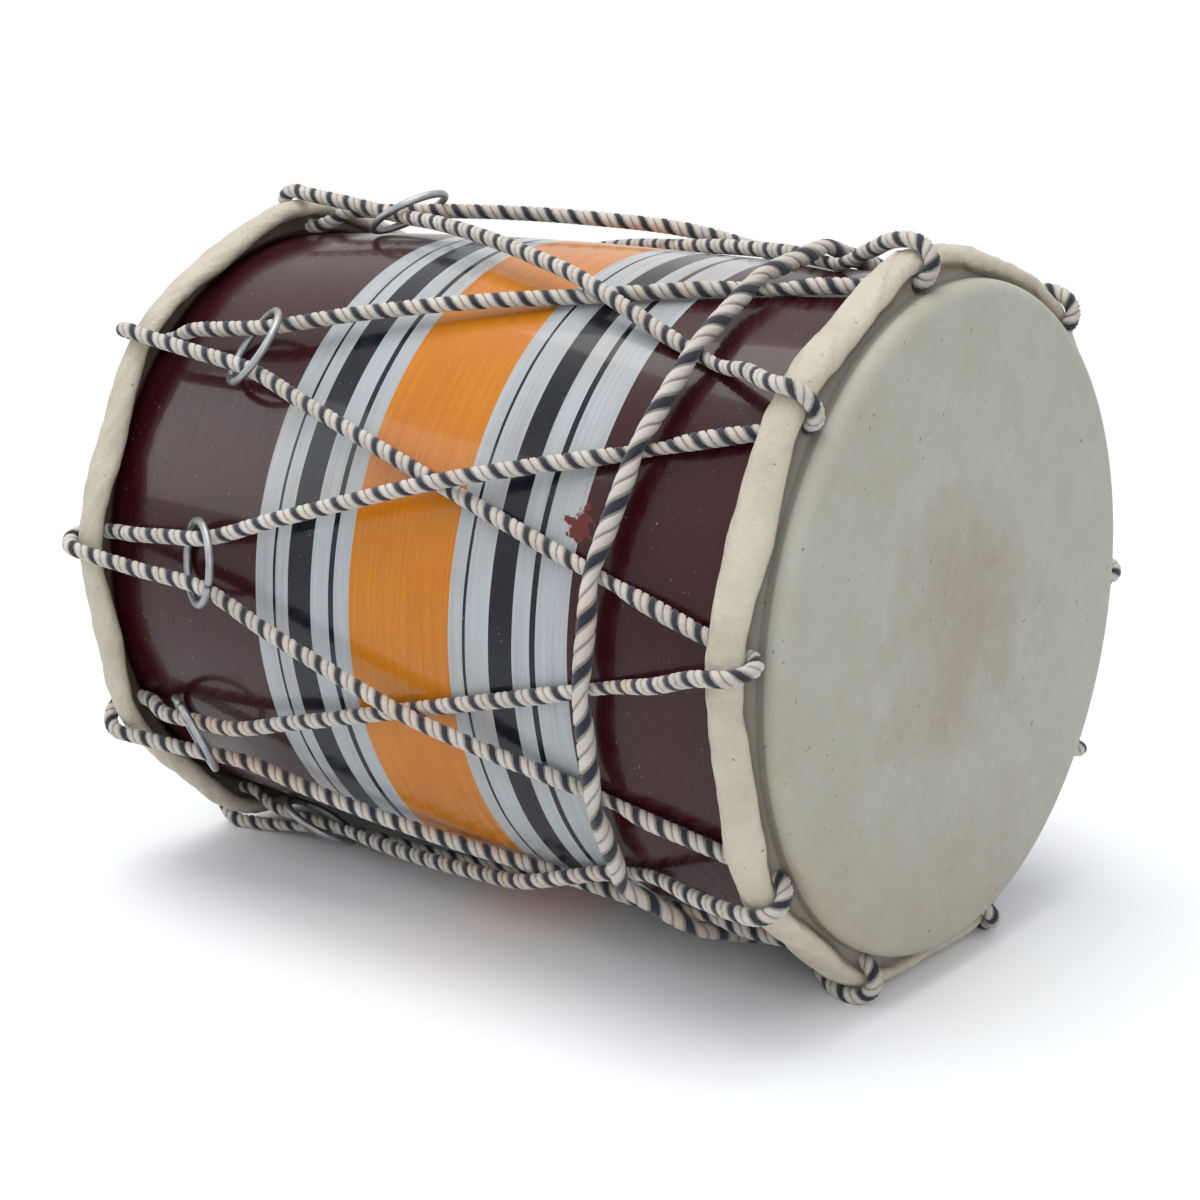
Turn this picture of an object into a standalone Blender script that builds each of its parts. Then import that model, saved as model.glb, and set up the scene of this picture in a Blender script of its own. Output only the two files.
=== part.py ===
"""A rope-tuned two-headed barrel drum, modelled standing on its treble end and then laid on its side.

The turned pieces share the local axis Z, with the bass head up. An angle is measured round that axis
from the side that ends up on top, and a negative angle lies toward negative Y.
"""

import math

import bmesh
import bpy
import numpy as np
from mathutils import Matrix, Vector

# Driving sizes, in metres and degrees

SHELL_LENGTH = 0.317
BELLY_RADIUS = 0.1207
BASS_RIM_DROP = 0.0019
TREBLE_RIM_DROP = 0.0077
BELLY_PLACE = 0.005
SHELL_WALL = 0.012
RIM_ROUND = 0.0050
BAND_EDGES = (0.0719, 0.0211, -0.0238, -0.0705)

SKIN_THICKNESS = 0.0012
BASS_ROLL_WIDTH = 0.0160
BASS_ROLL_THICKNESS = 0.0090
BASS_ROLL_SETBACK = 0.0153
TREBLE_ROLL_WIDTH = 0.0120
TREBLE_ROLL_THICKNESS = 0.0080
TREBLE_ROLL_SETBACK = 0.0098
ROLL_PINCH = 0.85
PASTE_RADIUS = 0.046
PASTE_THICKNESS = 0.0040

ROPE_DIAMETER = 0.0058
GIRTH_ROPE_DIAMETER = 0.0068
ROPE_SQUEEZE = 0.80
FLOOR_SQUEEZE = 0.68
ROPE_TAIL = 0.008
KNOT_IN_DIAMETERS = 5.0
FOOT_FLAT_SHARE = 0.1

RING_DIAMETER = 0.0340
RING_WIRE = 0.0030
RING_LEAN = math.radians(28)
LOW_RING_LEAN = math.radians(18)
RING_TIGHT_SETBACK = 0.0685
RING_TRAVEL = 0.024
RING_SLACKS = (0.002, 0.0, 0.0, 0.022, 0.015, 0.004, 0.0, 0.008, 0.003)

# The nine rope holes of each head as the drum is laced, from the top round by the near side
BASS_HOLES = (-9.0, -46.0, -85.0, -124.0, -159.2, -198.2, -235.0, -266.0, -319.0)
TREBLE_HOLES = (0.0, -47.0, -85.0, -120.0, -158.1, -199.1, -235.0, -275.0, -317.0)
BASS_HOLES_ENTERED_FROM_OUTSIDE = (0, 1)
LOWEST_HOLES = (4, 5)

# Where the girth rope lies along the drum, at angles from the top round by the near side
GIRTH_PLACES = ((0, 0.096), (-40, 0.095), (-75, 0.086), (-110, 0.083), (-132, 0.077),
                (-155, 0.090), (-185, 0.094), (-225, 0.088), (-270, 0.086), (-320, 0.092))
GIRTH_KNOT_ANGLE = math.radians(-292.5)
LACING_KNOT_PLACE = -0.042

GAP = 0.0003
SKIRT_GAP = 0.0007
LOOP_GAP = 0.0009
CROSSING_GAP = 0.0009
TWIST_GAP = 0.0019

SHELL_STEPS = 48
ROLL_STEPS_PER_HOLE = 6
RING_STEPS = 16
STRAND_STEP = 0.036

ROPE = ROPE_DIAMETER / 2
GIRTH_ROPE = GIRTH_ROPE_DIAMETER / 2
RING = (RING_DIAMETER - RING_WIRE) / 2
WIRE = RING_WIRE / 2
BASS_RIM_RADIUS = BELLY_RADIUS - BASS_RIM_DROP
TREBLE_RIM_RADIUS = BELLY_RADIUS - TREBLE_RIM_DROP
RING_TIGHT_PLACE = RING_TIGHT_SETBACK - SHELL_LENGTH / 2
HOLES = len(BASS_HOLES)
TURN = 2 * math.pi


def barrel_radius(z):
    """The shell's outer radius: one parabola from the belly to each rim."""
    half = SHELL_LENGTH / 2
    far = np.where(z > BELLY_PLACE, half - BELLY_PLACE, half + BELLY_PLACE)
    drop = np.where(z > BELLY_PLACE, BASS_RIM_DROP, TREBLE_RIM_DROP)
    return BELLY_RADIUS - drop * ((z - BELLY_PLACE) / far) ** 2


def place(angle, radius, z):
    """Points of the standing drum: an angle of 0 is the side that ends up on top."""
    angle, radius, z = np.broadcast_arrays(angle, radius, z)
    return np.stack([-radius * np.cos(angle), radius * np.sin(angle), z], axis=-1)


def smooth_step(share):
    share = np.clip(share, 0, 1)
    return share * share * (3 - 2 * share)


class Head:
    """One end of the drum: its rim, the roll of skin round its hoop, and its nine rope holes."""

    def __init__(self, side, rim_radius, width, thickness, setback, holes):
        self.side = side
        self.rim_radius = rim_radius
        self.rim = side * SHELL_LENGTH / 2
        self.setback = setback
        self.roll = self.rim - side * setback
        self.half_width = width / 2
        self.half_thickness = thickness / 2
        self.holes = np.radians(holes)
        self.seat = float(barrel_radius(self.roll - side * self.half_width))
        self.skirt = self.seat + SKIRT_GAP + SKIN_THICKNESS
        self.low = self.skirt + GAP + self.half_thickness
        self.laced = self.seat + GAP + ROPE_DIAMETER + LOOP_GAP + self.half_thickness * ROLL_PINCH

    def hole_angle(self, number):
        """Holes are counted on past the last one, so that a strand never jumps a turn."""
        return self.holes[number % HOLES] - TURN * (number // HOLES)

    def looseness(self, angle):
        """0 at a rope hole and 1 midway between two, as a raised cosine of the angle."""
        angle = np.asarray(angle)[..., None]
        after = np.mod(self.holes - angle, TURN).min(axis=-1)
        before = np.mod(angle - self.holes, TURN).min(axis=-1)
        return 0.5 - 0.5 * np.cos(TURN * before / np.maximum(before + after, 1e-9))

    def roll_radius(self, angle):
        """The roll's centre line: held off the shell by the rope at a hole, close to it between holes."""
        return self.laced - (self.laced - self.low) * self.looseness(angle)

    def roll_scale(self, angle):
        """The share of its free section that the roll keeps: the rope pinches it at a hole."""
        return ROLL_PINCH + (1 - ROLL_PINCH) * self.looseness(angle)

    def loop_point(self, turn):
        """The rope's place round the pinched roll: -90 degrees below it, 0 on its face side, 90 on its crown."""
        reach = ROPE + LOOP_GAP
        along = (self.half_width * ROLL_PINCH + reach) * np.cos(turn)
        out = (self.half_thickness * ROLL_PINCH + reach) * np.sin(turn)
        return self.roll + self.side * along, self.laced + out

    def foot(self):
        """How far below the axis the flat of the rope's lowest loops lies."""
        crown = self.loop_point(math.pi / 2)[1]
        legs = [self.hole_angle(n) - LEG_STEP / self.laced for n in LOWEST_HOLES]
        return min(-crown * math.cos(a) for a in legs) + ROPE - FOOT_FLAT_SHARE * ROPE_DIAMETER


LEG_STEP = ROPE + GAP
BASS = Head(1, BASS_RIM_RADIUS, BASS_ROLL_WIDTH, BASS_ROLL_THICKNESS, BASS_ROLL_SETBACK, BASS_HOLES)
TREBLE = Head(-1, TREBLE_RIM_RADIUS, TREBLE_ROLL_WIDTH, TREBLE_ROLL_THICKNESS, TREBLE_ROLL_SETBACK, TREBLE_HOLES)


# The scene: an empty lays the drum down, level on its four lowest rope loops


def clear_scene():
    for obj in list(bpy.data.objects):
        bpy.data.objects.remove(obj)


def new_collection(name):
    collection = bpy.data.collections.new(name)
    bpy.context.scene.collection.children.link(collection)
    return collection


def laid_frame():
    """The standing drum turned onto its side, its treble end let down until both ends touch z = 0."""
    tip = math.atan2(BASS.foot() - TREBLE.foot(), BASS.roll - TREBLE.roll)
    frame = bpy.data.objects.new("drum_axis", None)
    frame.rotation_euler.y = math.pi / 2 - tip
    frame.location.z = BASS.foot() * math.cos(tip) - BASS.roll * math.sin(tip)
    parts.objects.link(frame)
    bpy.context.view_layer.update()
    return frame


def add_object(name, data, collection, parent):
    obj = bpy.data.objects.new(name, data)
    collection.objects.link(obj)
    obj.parent = parent
    return obj


def hide_as_cutter(obj):
    obj.hide_render = True
    obj.display_type = "WIRE"


def material(name, colour, roughness, metallic=0.0):
    made = bpy.data.materials.new(name)
    made.use_nodes = True
    shader = made.node_tree.nodes["Principled BSDF"]
    shader.inputs["Base Color"].default_value = (*colour, 1)
    shader.inputs["Roughness"].default_value = roughness
    shader.inputs["Metallic"].default_value = metallic
    return made


def evaluated_mesh(obj):
    """The object's mesh with its modifiers applied, welded and facing out."""
    graph = bpy.context.evaluated_depsgraph_get()
    mesh = bpy.data.meshes.new_from_object(obj.evaluated_get(graph))
    shape = bmesh.new()
    shape.from_mesh(mesh)
    bmesh.ops.remove_doubles(shape, verts=shape.verts, dist=1e-6)
    bmesh.ops.recalc_face_normals(shape, faces=shape.faces)
    shape.to_mesh(mesh)
    shape.free()
    return mesh


def turned(name, profile, steps, closed):
    """A body of revolution: the profile's (radius, z) points carried round Z by a Screw modifier."""
    points = [(radius, 0, z) for radius, z in profile]
    count = len(points)
    edges = [(i, (i + 1) % count) for i in range(count if closed else count - 1)]
    mesh = bpy.data.meshes.new(name)
    mesh.from_pydata(points, edges, [])
    blank = bpy.data.objects.new(name, mesh)
    parts.objects.link(blank)
    screw = blank.modifiers.new("Turn", "SCREW")
    screw.angle = TURN
    screw.steps = screw.render_steps = steps
    screw.use_merge_vertices = True
    screw.merge_threshold = 0.00001
    bpy.context.view_layer.update()
    turned_mesh = evaluated_mesh(blank)
    bpy.data.objects.remove(blank)
    turned_mesh.name = name
    turned_mesh.shade_smooth()
    turned_mesh.set_sharp_from_angle(angle=math.radians(40))
    return add_object(name, turned_mesh, parts, drum)


def arc(centre_radius, centre_z, round_radius, first, last, count):
    """Points on a quarter of a rounded edge, as (radius, z), between two angles in degrees from +radius."""
    turns = np.radians(np.linspace(first, last, count))
    return [(centre_radius + round_radius * math.cos(t), centre_z + round_radius * math.sin(t)) for t in turns]


# The shell: one turned and hollowed block of wood, lacquered outside in bands


def build_shell():
    half = SHELL_LENGTH / 2
    bass_edge = arc(BASS_RIM_RADIUS - RIM_ROUND, half - RIM_ROUND, RIM_ROUND, 90, 0, 3)
    treble_edge = arc(TREBLE_RIM_RADIUS - RIM_ROUND, RIM_ROUND - half, RIM_ROUND, 0, -90, 3)
    outside = np.array([(BASS.roll + BAND_EDGES[0]) / 2, *BAND_EDGES, (TREBLE.roll + BAND_EDGES[-1]) / 2])
    outer = [(float(barrel_radius(z)), z) for z in outside]
    inside = np.linspace(-half, half, 5)
    inner = [(float(barrel_radius(z)) - SHELL_WALL, z) for z in inside]
    shell = turned("shell", bass_edge + outer + treble_edge + inner, SHELL_STEPS, closed=True)
    lacquers = (
        material("maroon_lacquer", (0.055, 0.008, 0.012), 0.16),
        material("pale_grey_band", (0.55, 0.62, 0.66), 0.28),
        material("orange_band", (0.75, 0.30, 0.02), 0.28),
        material("bare_wood", (0.42, 0.27, 0.15), 0.7),
    )
    for lacquer in lacquers:
        shell.data.materials.append(lacquer)
    for face in shell.data.polygons:
        x, y, z = face.center
        radius = math.hypot(x, y)
        bands_passed = sum(z < edge for edge in BAND_EDGES)
        painted = (0, 1, 2, 1, 0)[bands_passed]
        bare = radius < barrel_radius(z) - SHELL_WALL / 2
        face.material_index = 3 if bare else painted


# The heads: a skin stretched over each rim and wrapped round a hoop, whose roll the lacing pulls on

WRAP_ANGLES = (-80, -145, 150, 85, 20, -35)
ROLL_ANGLES = (-35, 5, 45, 90, 132, 172, 212, 265)


def oval(head, shrink, angles):
    """The roll's oval section, less a margin, as (face-side distance from its centre, radius) at angles."""
    width = head.half_width - shrink
    thickness = head.half_thickness - shrink
    return [(width * math.cos(math.radians(a)), head.low + thickness * math.sin(math.radians(a))) for a in angles]


def press_roll(mesh, head):
    """Moves what belongs to the roll out to where the rope holds it, and pinches it at the holes.

    The turned steps are first spread so that each rope hole falls on one of them.
    """
    count = len(mesh.vertices)
    points = np.empty(count * 3, np.float32)
    mesh.vertices.foreach_get("co", points)
    points = points.reshape(count, 3).astype(float)
    radius = np.hypot(points[:, 0], points[:, 1])
    even = np.mod(np.arctan2(-points[:, 1], -points[:, 0]), TURN) * HOLES / TURN
    holes = [head.hole_angle(number) for number in range(HOLES + 1)]
    angle = np.interp(even, range(HOLES + 1), holes)
    scale = head.roll_scale(angle)
    pressed = head.roll_radius(angle) + (radius - head.low) * scale
    along = head.roll + (points[:, 2] - head.roll) * scale
    of_roll = radius > head.skirt + GAP / 2
    radius = np.where(of_roll, pressed, radius)
    points = place(angle, radius, np.where(of_roll, along, points[:, 2]))
    mesh.vertices.foreach_set("co", points.ravel())
    mesh.update()


def build_skin(name, head, finish):
    """Flat membrane, rounded shoulder, skirt under the roll, and the wrap that goes round the hoop."""
    face = head.setback + GAP + SKIN_THICKNESS
    shoulder = RIM_ROUND + GAP + SKIN_THICKNESS
    flat = head.skirt - shoulder
    outer = [(face, 0), (face, flat)]
    outer += [(face - shoulder + u, flat + r) for r, u in arc(0, 0, shoulder, 48, 8, 2)]
    outer.append((head.half_width - shoulder / 8, head.skirt))
    wrap = oval(head, SKIN_THICKNESS, WRAP_ANGLES) + oval(head, 0, ROLL_ANGLES)
    inner = [(head.half_width - shoulder / 4, head.skirt - SKIN_THICKNESS)]
    inner += [(face - shoulder + u, flat + r) for r, u in arc(0, 0, shoulder - SKIN_THICKNESS, 8, 48, 2)]
    inner += [(face - SKIN_THICKNESS, flat), (face - SKIN_THICKNESS, 0)]
    profile = [(r, head.roll + head.side * u) for u, r in outer + wrap + inner]
    skin = turned(name, profile, ROLL_STEPS_PER_HOLE * HOLES, closed=False)
    press_roll(skin.data, head)
    skin.data.materials.append(finish)
    return skin


def build_hoop(name, head, finish):
    """The cane hoop inside the roll, an oval ring that follows the roll's pressed course."""
    section = oval(head, SKIN_THICKNESS + GAP, WRAP_ANGLES)
    profile = [(r, head.roll + head.side * u) for u, r in section]
    hoop = turned(name, profile, ROLL_STEPS_PER_HOLE * HOLES, closed=True)
    press_roll(hoop.data, head)
    hoop.data.materials.append(finish)


def build_paste():
    """The cake of tuning paste on the inner face of the bass skin, domed toward its rim."""
    top = BASS.rim
    profile = [(0, top), (PASTE_RADIUS, top), (PASTE_RADIUS * 0.96, top - PASTE_THICKNESS / 3)]
    profile += [(PASTE_RADIUS * 0.7, top - PASTE_THICKNESS * 0.85), (0, top - PASTE_THICKNESS)]
    paste = turned("tuning_paste", profile, SHELL_STEPS // 2, closed=False)
    paste.data.materials.append(material("dark_paste", (0.03, 0.02, 0.015), 0.8))


# The tuning rings: one wire ring round the two strands that leave each treble hole


class RingSeat:
    """How a ring leans over the two strands inside it: flatter, on squeezed strands, next to the floor."""

    def __init__(self, number):
        self.low = number % HOLES in LOWEST_HOLES
        self.lean = LOW_RING_LEAN if self.low else RING_LEAN
        self.rope = ROPE * ROPE_SQUEEZE if self.low else ROPE
        rise = RING * math.sin(self.lean)
        room = rise**2 - (WIRE + self.rope + (2.5 if self.low else 3.5) * GAP) ** 2
        self.height = rise + WIRE + GAP
        self.reach = RING * math.cos(self.lean)
        self.spread = math.sqrt(max(room, 0)) / math.tan(self.lean)
        wire_rise = rise * (1 - math.sqrt(1 - (self.spread / RING) ** 2)) + self.spread**2 / (2 * TREBLE.seat)
        self.over_wire = wire_rise + 2 * WIRE + 3 * GAP + ROPE


def ring_frame(number):
    """A ring's tight place and its own axes: toward the bass, and out of the shell."""
    angle = TREBLE.hole_angle(number)
    step = 0.0005
    slope = float(barrel_radius(RING_TIGHT_PLACE + step) - barrel_radius(RING_TIGHT_PLACE - step)) / (2 * step)
    outward = Vector(place(angle, 1, 0))
    along = (Vector((0, 0, 1)) + outward * slope).normalized()
    out = (outward - Vector((0, 0, 1)) * slope).normalized()
    centre = Vector(place(angle, float(barrel_radius(RING_TIGHT_PLACE)), RING_TIGHT_PLACE))
    return centre + out * RingSeat(number).height, along, out


def build_rings(finish):
    for number, slack in enumerate(RING_SLACKS):
        bpy.ops.mesh.primitive_torus_add(
            major_segments=RING_STEPS, minor_segments=6, major_radius=RING, minor_radius=WIRE
        )
        ring = bpy.context.object
        ring.name = f"tuning_ring_{number + 1}"
        bpy.context.collection.objects.unlink(ring)
        parts.objects.link(ring)
        ring.parent = drum
        centre, along, out = ring_frame(number)
        lean = RingSeat(number).lean
        lean_along = along * math.cos(lean) + out * math.sin(lean)
        axis = out * math.cos(lean) - along * math.sin(lean)
        turn = Matrix((lean_along, axis.cross(lean_along), axis)).transposed()
        ring.matrix_local = Matrix.Translation(centre - along * slack) @ turn.to_4x4()
        ring.data.shade_smooth()
        ring.data.materials.append(finish)


# The lacing: one rope, over and under the rolls of both heads, twice round the drum

LYING = ROPE + 1.5 * GAP
CROSSING_OVER = LYING + ROPE_DIAMETER + CROSSING_GAP
UNDER_GIRTH = ROPE * ROPE_SQUEEZE + GAP
LOOP_TURNS = np.radians((-90, -52, -25, 0, 25, 52, 90, 106))


def girth_place(angle):
    """The girth rope's place along the drum, eased from each chosen point to the next."""
    turned_by = np.mod(-np.degrees(angle), 360)
    at = np.array([-a for a, _ in GIRTH_PLACES] + [360.0])
    z = np.array([p for _, p in GIRTH_PLACES] + [GIRTH_PLACES[0][1]])
    index = np.clip(np.searchsorted(at, turned_by, side="right") - 1, 0, len(at) - 2)
    share = smooth_step((turned_by - at[index]) / (at[index + 1] - at[index]))
    return z[index] + (z[index + 1] - z[index]) * share


class Strand:
    """One run of the lacing from a hole in one head to the next hole in the other."""

    def __init__(self, leave, arrive, on_top):
        self.leave = leave
        self.arrive = arrive
        self.on_top = on_top
        self.downward = leave[0] is BASS
        on_floor = leave[1] % HOLES in LOWEST_HOLES and arrive[1] % HOLES in LOWEST_HOLES
        self.share = FLOOR_SQUEEZE if on_floor else 1
        bass, treble = (leave, arrive) if self.downward else (arrive, leave)
        away = -1 if self.downward else 1
        self.seat = RingSeat(treble[1])
        ring_radius = float(barrel_radius(RING_TIGHT_PLACE)) + self.seat.height
        self.treble_angle = TREBLE.hole_angle(treble[1]) - away * LEG_STEP / TREBLE.laced
        self.ring_angle = TREBLE.hole_angle(treble[1]) - away * self.seat.spread / ring_radius
        self.bass_angle = BASS.hole_angle(bass[1]) + away * LEG_STEP / BASS.laced
        self.bass_over = over_roll(*bass, leaving=self.downward)
        self.treble_over = over_roll(*treble, leaving=not self.downward)
        self.girth = BASS.roll
        for _ in range(8):
            self.girth = float(girth_place(self.angle(self.girth)))

    def angle(self, z):
        corners = (TREBLE.roll, RING_TIGHT_PLACE, BASS.roll)
        return np.interp(z, corners, (self.treble_angle, self.ring_angle, self.bass_angle))

    def meet(self, partner):
        """Finds where this strand crosses its partner, which runs the other way a round later."""
        z = np.linspace(RING_TIGHT_PLACE, self.girth, 2000)
        lead = self.angle(z) - partner.angle(z) - TURN * round((self.bass_angle - partner.treble_angle) / TURN)
        self.crossing = partner.crossing = float(z[np.argmin(np.abs(lead))])

    def heights(self):
        """The rope's centre above the shell at its marks along the drum, from the treble roll to the bass roll."""
        crossing_over = CROSSING_OVER if self.share == 1 else LYING + ROPE_DIAMETER + 1.5 * GAP
        lying_over = (crossing_over if self.on_top else LYING) - ROPE * (1 - self.share) * (3 if self.on_top else 1)
        settle = self.girth + 2 * GIRTH_ROPE
        free = 4 * GIRTH_ROPE
        if self.treble_over:
            z, radius = TREBLE.loop_point(LOOP_TURNS[-1])
            marks = [(z, radius - float(barrel_radius(z)))]
        else:
            ring_stop = RING_TIGHT_PLACE - RING_TRAVEL - self.seat.reach
            marks = [(TREBLE.roll, LYING), (TREBLE.roll + TREBLE.half_width, LYING), (ring_stop, self.seat.over_wire)]
        marks += [(RING_TIGHT_PLACE, self.seat.height), (self.crossing, lying_over)]
        marks += [(self.girth - free, LYING), (self.girth, UNDER_GIRTH), (settle, UNDER_GIRTH)]
        if self.bass_over:
            z, radius = BASS.loop_point(LOOP_TURNS[-1])
            marks.append((z, radius - float(barrel_radius(z))))
        else:
            marks += [(self.girth + free, LYING), (BASS.roll - BASS.half_width, LYING), (BASS.roll, LYING)]
        return np.array(marks)

    def stations(self):
        """Places along the run where the rope has a point: its marks, and even steps between them."""
        marks = self.heights()[:, 0]
        steps = [np.linspace(a, b, 1 + math.ceil((b - a) / STRAND_STEP))[:-1] for a, b in zip(marks, marks[1:])]
        z = np.concatenate(steps)[1:]
        return z[::-1] if self.downward else z

    def run(self, z):
        """Points along the run with, last, the share of its full thickness that the rope keeps there."""
        marks = self.heights()
        radius = barrel_radius(z) + np.interp(z, marks[:, 0], marks[:, 1])
        reach = np.array((2, 4)) * GIRTH_ROPE
        squeeze = np.interp(np.abs(z - self.girth), reach, (ROPE_SQUEEZE, 1))
        at_ring = z < RING_TIGHT_PLACE + RING
        squeeze = np.where(at_ring, np.minimum(squeeze, self.seat.rope / ROPE), squeeze)
        squeeze = np.minimum(squeeze, self.share)
        return np.column_stack([place(self.angle(z), radius, z), squeeze])


def over_roll(head, number, leaving):
    """Whether a strand lies over the roll: it leaves over and arrives under, but for the first two bass holes."""
    entered_from_outside = head is BASS and number % HOLES in BASS_HOLES_ENTERED_FROM_OUTSIDE
    return entered_from_outside != leaving


def loop(head, number):
    """The loop through a hole, stepping sideways so that its two legs lie beside each other."""
    turns = LOOP_TURNS[::-1] if over_roll(head, number, leaving=False) else LOOP_TURNS
    aside = LEG_STEP * (1 - 2 * smooth_step(np.linspace(0, 1, len(turns)))) / head.laced
    z, radius = head.loop_point(turns)
    return np.column_stack([place(head.hole_angle(number) + aside, radius, z), np.ones(len(turns))])


def lacing_strands():
    """The runs in the order in which the rope is drawn through, from the last treble hole and back to it."""
    stops = [((TREBLE, BASS)[count % 2], HOLES - 1 + count) for count in range(2 * HOLES + 1)]
    runs = [Strand(leave, arrive, on_top=count >= HOLES) for count, (leave, arrive) in enumerate(zip(stops, stops[1:]))]
    for first, second in zip(runs, runs[HOLES:]):
        first.meet(second)
    return runs


def tied_ends(base, diameter, reach):
    """Two rope ends that meet along a line and are wound once round each other, each past the other.

    base(s) gives the line's points and its outward directions at distances s from the knot's middle.
    One end's offset grows from 0 to a rope's thickness as the other's falls to 0, on opposite sides of
    an axis that turns once. It returns the end that sets out and the end that comes in.
    """
    apart = diameter + TWIST_GAP
    knot = KNOT_IN_DIAMETERS * diameter

    def wound(s, arriving):
        line, out = base(s)
        ahead, _ = base(s + 0.001)
        along = ahead - line
        along /= np.linalg.norm(along, axis=1)[:, None]
        aside = np.cross(along, out)
        share = smooth_step(0.5 + s / knot)
        turn = -TURN * np.clip(0.5 + s / knot, 0, 1)
        offset = apart * share if arriving else apart * (share - 1)
        return line + offset[:, None] * (np.cos(turn)[:, None] * aside + np.sin(turn)[:, None] * out)

    tail = knot / 2 + ROPE_TAIL
    count = math.ceil((tail + reach) / (0.5 * diameter))
    leaving = wound(np.linspace(-tail, reach, count), arriving=False)
    arriving = wound(np.linspace(-reach, tail, count), arriving=True)
    full = np.ones((count, 1))
    return np.hstack([leaving, full]), np.hstack([arriving, full])


def lacing_route():
    """The whole rope's points, with the share of its thickness at each, from one tied end to the other."""
    runs = lacing_strands()
    tied = runs[-1]
    reach = KNOT_IN_DIAMETERS * ROPE_DIAMETER / 2 + ROPE_TAIL + 0.004

    def base(s):
        z = LACING_KNOT_PLACE - s
        return tied.run(z)[:, :3], place(tied.angle(z), 1, 0)

    leaving, arriving = tied_ends(base, ROPE_DIAMETER, reach)
    z = tied.stations()
    route = [leaving, tied.run(z[z < LACING_KNOT_PLACE - 1.3 * reach])]
    route.append(loop(*tied.arrive))
    for run in runs[:-1]:
        route += [run.run(run.stations()), loop(*run.arrive)]
    route += [tied.run(z[z > LACING_KNOT_PLACE + 1.3 * reach]), arriving]
    return np.concatenate(route)


def girth_route():
    """The girth rope's points: over each strand, and straight on to the next, with its ends tied."""
    rise = UNDER_GIRTH + ROPE * ROPE_SQUEEZE + GAP + GIRTH_ROPE * ROPE_SQUEEZE
    low = GIRTH_ROPE + GAP
    knot_height = low + GIRTH_ROPE
    over = sorted((float(np.mod(-run.angle(run.girth), TURN)) for run in lacing_strands()))
    knot = float(np.mod(-GIRTH_KNOT_ANGLE, TURN))
    first = next(i for i, angle in enumerate(over) if angle > knot)
    over = over[first:] + [angle + TURN for angle in over[:first]]

    def lifted(angle, height):
        z = girth_place(-angle)
        return place(-angle, barrel_radius(z) + height, z)

    def base(s):
        angle = knot + s / (BELLY_RADIUS + knot_height)
        return lifted(angle, knot_height), place(-angle, 1, 0)

    reach = KNOT_IN_DIAMETERS * GIRTH_ROPE_DIAMETER / 2 + ROPE_TAIL
    leaving, arriving = tied_ends(base, GIRTH_ROPE_DIAMETER, reach)
    route = [leaving]
    for here, there in zip(over, over[1:]):
        start, end = lifted(here, rise), lifted(there, rise)
        for share in (0, 0.25, 0.5, 0.75):
            point = start + (end - start) * share
            radius = math.hypot(point[0], point[1])
            least = float(barrel_radius(point[2])) + low
            point[:2] *= max(least / radius, 1)
            route.append(np.array([[*point, ROPE_SQUEEZE if share == 0 else 1.0]]))
    route.append(np.array([[*lifted(over[-1], rise), ROPE_SQUEEZE]]))
    route.append(arriving)
    return np.concatenate(route)


def length_of(route):
    return float(np.linalg.norm(np.diff(route[:, :3], axis=0), axis=1).sum())


def least_gap(route, diameter):
    """The least gap between a rope and itself, measured between points read every 1.5 mm along it."""
    steps = np.linalg.norm(np.diff(route[:, :3], axis=0), axis=1)
    along = np.concatenate([[0], np.cumsum(steps)])
    s = np.arange(0, along[-1], 0.0015)
    points = np.column_stack([np.interp(s, along, route[:, axis]) for axis in range(3)])
    radius = np.interp(s, along, route[:, 3]) * diameter / 2
    least = math.inf
    for i in range(0, len(s), 200):
        apart = np.linalg.norm(points[i : i + 200, None] - points[None], axis=2)
        apart -= radius[i : i + 200, None] + radius[None]
        far = np.abs(s[i : i + 200, None] - s[None]) > 4 * diameter
        least = min(least, float(apart[far].min()))
    return least


def rope_curve(name, route, diameter):
    """A tube with eight sides along a route, thinned where the rope is squeezed."""
    curve = bpy.data.curves.new(name, "CURVE")
    curve.dimensions = "3D"
    curve.bevel_depth = diameter / 2
    curve.bevel_resolution = 2
    curve.use_fill_caps = True
    spline = curve.splines.new("POLY")
    spline.points.add(len(route) - 1)
    spline.points.foreach_set("co", np.column_stack([route[:, :3], np.ones(len(route))]).ravel())
    spline.points.foreach_set("radius", route[:, 3])
    return curve


def rope_object(name, route, diameter, finish):
    blank = bpy.data.objects.new(name, rope_curve(name, route, diameter))
    parts.objects.link(blank)
    bpy.context.view_layer.update()
    mesh = evaluated_mesh(blank)
    bpy.data.objects.remove(blank)
    mesh.name = name
    mesh.shade_smooth()
    mesh.materials.append(finish)
    rope = add_object(name, mesh, parts, drum)
    least = least_gap(route, diameter) * 1000
    print(f"{name} is {length_of(route):.3f} m long, and its least gap to itself is {least:.2f} mm")
    return rope


def cut(target, cutter):
    boolean = target.modifiers.new("Cut", "BOOLEAN")
    boolean.operation = "DIFFERENCE"
    boolean.object = cutter


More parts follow.
